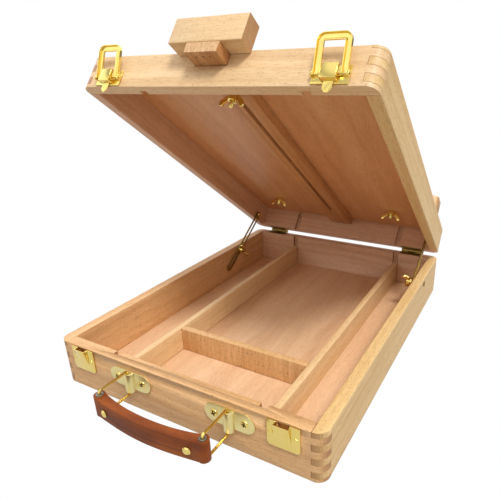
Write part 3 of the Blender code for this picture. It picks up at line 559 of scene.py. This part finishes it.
# %% Pressed lever frames
LEVER_HALF, LEVER_LONG, ARM_HALF = 12.4 * MM, 26.6 * MM, 2.45 * MM
LEVER_CORNER = 5.4 * MM
STRAIGHT_END = 8 * MM
EYE_END, EYE_BORE = 0.9 * MM, 0.72 * MM     # the arms end past the pin, bored for it
LEVER_TILT = Matrix.Rotation(math.radians(17), 3, "X")
lever_up, lever_out = LEVER_TILT @ LID_UP, LEVER_TILT @ LID_ALONG
# Section of the dish: place across the arm from -1 at the window to 1 outside, and height in mm
DISH = [(1.0, -1.25), (1.0, 1.25), (0.80, 1.25), (0.55, -0.45), (-0.45, -0.60), (-0.76, 0.45),
        (-1.0, 0.45), (-1.0, -1.25)]


def lever_line():
    """Middle line of the frame, as (across, along, outward direction in degrees) steps."""
    reach, bend, top = LEVER_HALF - ARM_HALF, LEVER_CORNER - ARM_HALF, LEVER_LONG - ARM_HALF
    steps = [(-reach, -EYE_END, 180.0), (-reach, STRAIGHT_END, 180.0)]
    for turn in range(0, 91, 15):
        facing = 180.0 - turn
        a = math.radians(facing)
        steps.append((-reach + bend + bend * math.cos(a), top - bend + bend * math.sin(a), facing))
    steps += [(-x, y, 180.0 - facing) for x, y, facing in reversed(steps)]
    return steps


def pressed_lever(axis):
    """The dish swept round the frame, with its eye bored."""
    shape = bmesh.new()
    rings = []
    for x, y, facing in lever_line():
        out_x, out_y = math.cos(math.radians(facing)), math.sin(math.radians(facing))
        rings.append([shape.verts.new(axis + X * (x + out_x * place * ARM_HALF)
                                      + lever_up * (y + out_y * place * ARM_HALF)
                                      + lever_out * height_mm * MM)
                      for place, height_mm in DISH])
    for first, second in zip(rings, rings[1:]):
        for i in range(len(DISH)):
            j = (i + 1) % len(DISH)
            shape.faces.new((first[i], first[j], second[j], second[i]))
    for ring in (rings[0], rings[-1]):
        shape.faces.new(ring)
    bore = bmesh.new()
    across = Matrix.Translation(axis) @ Matrix.Rotation(math.radians(90), 4, "Y")
    bmesh.ops.create_cone(bore, cap_ends=True, segments=24, radius1=EYE_BORE, radius2=EYE_BORE,
                          depth=4 * LEVER_HALF, matrix=across)
    return cut_away(shape, bore)


for label in SIDES:
    piece_of(pressed_lever(joint_place[f"latch_swing_{label}"]), f"latch_lever_{label}_pressed",
             brass, "brass", f"latch_lever_{label}")
print("2 pressed levers")

# %% [markdown]
# ## Screws and pins
# Cross-head screws hold the handle's straps, and round-headed pins hold the latch plates and the
# keepers.  Only their heads show, so only the heads are made.  A pin's head is a low dome turned
# from a curved profile.  A screw's has a cross cut into it, with painted shade in the cut.

# %% Heads
HEAD_SIDES, HEAD_RINGS = 24, 5
CROSS_LONG, CROSS_WIDE = 0.62, 0.17         # of the head's radius


def dome(radius, height):
    """A low dome standing on the XY plane, closed underneath."""
    shape = bmesh.new()
    profile = []
    for i in range(1, HEAD_RINGS + 1):
        t = math.pi / 2 * i / HEAD_RINGS
        level = height * math.cos(t) ** 0.8 if i < HEAD_RINGS else 0.0
        profile.append((radius * math.sin(t), level))
    turns = [2 * math.pi * s / HEAD_SIDES for s in range(HEAD_SIDES)]
    top = shape.verts.new((0, 0, height))
    loops = [[shape.verts.new((r * math.cos(a), r * math.sin(a), level)) for a in turns]
             for r, level in profile]
    for s in range(HEAD_SIDES):
        n = (s + 1) % HEAD_SIDES
        shape.faces.new((top, loops[0][s], loops[0][n]))
        for inner, outer in zip(loops, loops[1:]):
            shape.faces.new((inner[s], outer[s], outer[n], inner[n]))
    shape.faces.new(list(reversed(loops[-1])))
    return shape


def cross_head(radius, height):
    """A screw head's shape: a dome with a cross cut into it, whose faces are marked for painted shade."""
    cross = bmesh.new()
    for long, wide in ((CROSS_LONG, CROSS_WIDE), (CROSS_WIDE, CROSS_LONG)):
        block = Matrix.Diagonal((2 * long * radius, 2 * wide * radius, 1.3 * height, 1))
        bmesh.ops.create_cube(cross, size=1.0, matrix=Matrix.Translation((0, 0, height)) @ block)
    head = cut_away(dome(radius, height), cross)
    # The faces in the cross take the second slot, the brass with painted shade
    for face in head.faces:
        middle = face.calc_center_median()
        far, near = sorted((abs(middle.x), abs(middle.y)), reverse=True)
        face.material_index = int(near < (CROSS_WIDE + 0.01) * radius
                                  and far < (CROSS_LONG + 0.01) * radius)
    return head


def fasten(name, head, body, place, facing, turn_deg=0):
    """Set a screw's or a pin's head on a face and let it ride on its body."""
    square = facing.to_track_quat("Z", "Y").to_matrix().to_4x4()
    turned = square @ Matrix.Rotation(math.radians(turn_deg), 4, "Z")
    bmesh.ops.transform(head, matrix=Matrix.Translation(place) @ turned, verts=head.verts)
    piece = piece_of(head, name, brass, "brass")
    # The second slot paints shade into a screw's cross
    piece.data.materials.append(shaded_recess_brass)
    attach(piece, body)


print("heads have", HEAD_SIDES, "sides")

# %% Screws and pins in place
PLATE_FACE = -179.3 * MM                    # front of the brass plates, 1.3 mm off the wall
STRAP_X = {"left": -46.0 * MM, "right": 56.5 * MM}
STRAP_HEIGHT, SCREW_REACH = 29.6 * MM, 14.0 * MM
SCREW_RADIUS, SCREW_RISE = 3.4 * MM, 1.2 * MM
KEEPER_X, KEEPER_HEIGHT, PIN_REACH = 103.1 * MM, 32.6 * MM, 10.4 * MM
PIN_RADIUS, PIN_RISE = 1.9 * MM, 0.8 * MM
LATCH_X, LATCH_HEIGHT, LATCH_PIN_REACH = 102 * MM, 12.2 * MM, 0.93 * PIN_REACH
LOW_RADIUS, LOW_RISE = 1.2 * MM, 0.25 * MM  # low, since a folded lever lies 0.35 mm off its plate
for label in SIDES:
    for number, way in enumerate((-1, 1)):
        fasten(f"strap_screw_{label}_{number}", cross_head(SCREW_RADIUS, SCREW_RISE), "base",
               Vector((STRAP_X[label] + way * SCREW_REACH, PLATE_FACE, STRAP_HEIGHT)), -Y,
               turn_deg=20 + 50 * number)
for label, side in zip(SIDES, (-1, 1)):
    for number, way in enumerate((-1, 1)):
        fasten(f"keeper_pin_{label}_{number}", dome(PIN_RADIUS, PIN_RISE), "base",
               Vector((side * KEEPER_X + way * PIN_REACH, PLATE_FACE, KEEPER_HEIGHT)), -Y)
        fasten(f"latch_plate_pin_{label}_{number}", dome(LOW_RADIUS, LOW_RISE), "lid",
               on_lid(side * LATCH_X + way * LATCH_PIN_REACH, PLATE_FACE, LATCH_HEIGHT),
               LID_ALONG)
print("12 small fasteners")

# %% [markdown]
# ## Leather
# The grip is oiled harness leather folded round the rings, closed with two rivets, and pressed
# along its edges.  Oil gives it a deep red brown with lighter patches, and a soft gloss.  Its
# pebbled grain is about half a millimetre across, too fine to show, so it is drawn at three
# quarters of a millimetre.  The folded edge meets in a dark seam between the rivets.  The seam
# could be cut into the mesh, but it is a pressed line, so relief in the material does.

# %% Leather material
GRIP_MIDDLE_X = 5.25 * MM
PEBBLES_PER_MM = 1.3
PEBBLE_STEEP, PEBBLE_RISE, PEBBLE_GLOSS = 2.2, 0.25, 0.10
CREASE_WIDE, SEAM_DARK, LEATHER_ROUGH = 0.30, 0.85, 0.58
SEAM_HEIGHT, SEAM_HALF_WIDTH, SEAM_HALF_LENGTH = 24.2 * MM, 0.55 * MM, 38.0 * MM
leather, tree, shader = new_material("oiled_harness_leather", Specular_IOR_Level=0.28)
place = add(tree, "TexCoord")["Object"]
spot = add(tree, "Mapping", Vector=place,
           Scale=per_mm(PEBBLES_PER_MM, PEBBLES_PER_MM, PEBBLES_PER_MM))[0]
pebble = add(tree, "TexVoronoi", feature="DISTANCE_TO_EDGE", Scale=1.0, Vector=spot)["Distance"]
pebble = add(tree, "Math", operation="MULTIPLY", use_clamp=True, _0=pebble,
             _1=PEBBLE_STEEP)[0]
spot = add(tree, "Mapping", Vector=place, Scale=per_mm(0.03, 0.08, 0.08))[0]
patina = add(tree, "TexNoise", Vector=spot, Scale=1.0, Detail=3, Roughness=0.5)["Fac"]
colour = add(tree, "ValToRGB", _0=patina, stops=[
    (0.30, "#73340C"), (0.50, "#8A4311"), (0.70, "#A55618")])["Color"]
crease = add(tree, "Math", operation="SUBTRACT", use_clamp=True, _0=CREASE_WIDE,
             _1=pebble)[0]
colour = add(tree, "Mix", data_type="RGBA", _0=crease, _6=colour, _7="#5A2810")[2]

where = add(tree, "SeparateXYZ", _0=place)
off_seam = add(tree, "Math", operation="SUBTRACT", _0=where["Z"], _1=SEAM_HEIGHT)[0]
off_seam = add(tree, "Math", operation="ABSOLUTE", _0=off_seam)[0]
off_seam = add(tree, "Math", operation="DIVIDE", _0=off_seam, _1=SEAM_HALF_WIDTH)[0]
seam = add(tree, "Math", operation="SUBTRACT", use_clamp=True, _0=1.0, _1=off_seam)[0]
off_middle = add(tree, "Math", operation="SUBTRACT", _0=where["X"], _1=GRIP_MIDDLE_X)[0]
off_middle = add(tree, "Math", operation="ABSOLUTE", _0=off_middle)[0]
inside = add(tree, "Math", operation="SUBTRACT", _0=SEAM_HALF_LENGTH, _1=off_middle)[0]
inside = add(tree, "Math", operation="MULTIPLY", use_clamp=True, _0=inside, _1=1 / MM)[0]
seam = add(tree, "Math", operation="MULTIPLY", _0=seam, _1=inside)[0]
dark_seam = add(tree, "Math", operation="MULTIPLY", _0=seam, _1=SEAM_DARK)[0]
colour = add(tree, "Mix", data_type="RGBA", _0=dark_seam, _6=colour, _7="#2C1208")[2]
tree.links.new(colour, shader.inputs["Base Color"])

gloss = add(tree, "Math", operation="MULTIPLY", _0=pebble, _1=PEBBLE_GLOSS)[0]
rough = add(tree, "Math", operation="SUBTRACT", _0=LEATHER_ROUGH, _1=gloss)[0]
tree.links.new(rough, shader.inputs["Roughness"])
raised = add(tree, "Math", operation="MULTIPLY", _0=pebble, _1=PEBBLE_RISE)[0]
raised = add(tree, "Math", operation="SUBTRACT", _0=raised, _1=seam)[0]
relief = add(tree, "Bump", Height=raised, Distance=0.35 * MM, Strength=0.6)[0]
tree.links.new(relief, shader.inputs["Normal"])
print("leather with a seam", SEAM_HALF_LENGTH * 2 / MM, "mm long")

# %% Leather grip and its sleeves
LEATHER_EASE = 0.9 * MM
shape = solid_copy("leather_grip")
bevel_edges(shape, LEATHER_EASE, TINY_EDGE, 3)
piece_of(shape, "leather_grip_cover", leather, "leather", "leather_grip")
# A sleeve is a short drawn tube on the ring, grey and dull with wear
sleeve_grey = new_material("grey_sleeve_tube", Base_Color="#8B877E", Roughness=0.35,
                           Metallic=0.7)[0]
for label in SIDES:
    dress(f"handle_sleeve_{label}", sleeve_grey)
print("grip and 2 sleeves")

# %% [markdown]
# ## Finish

# %% Finish
print("finished")
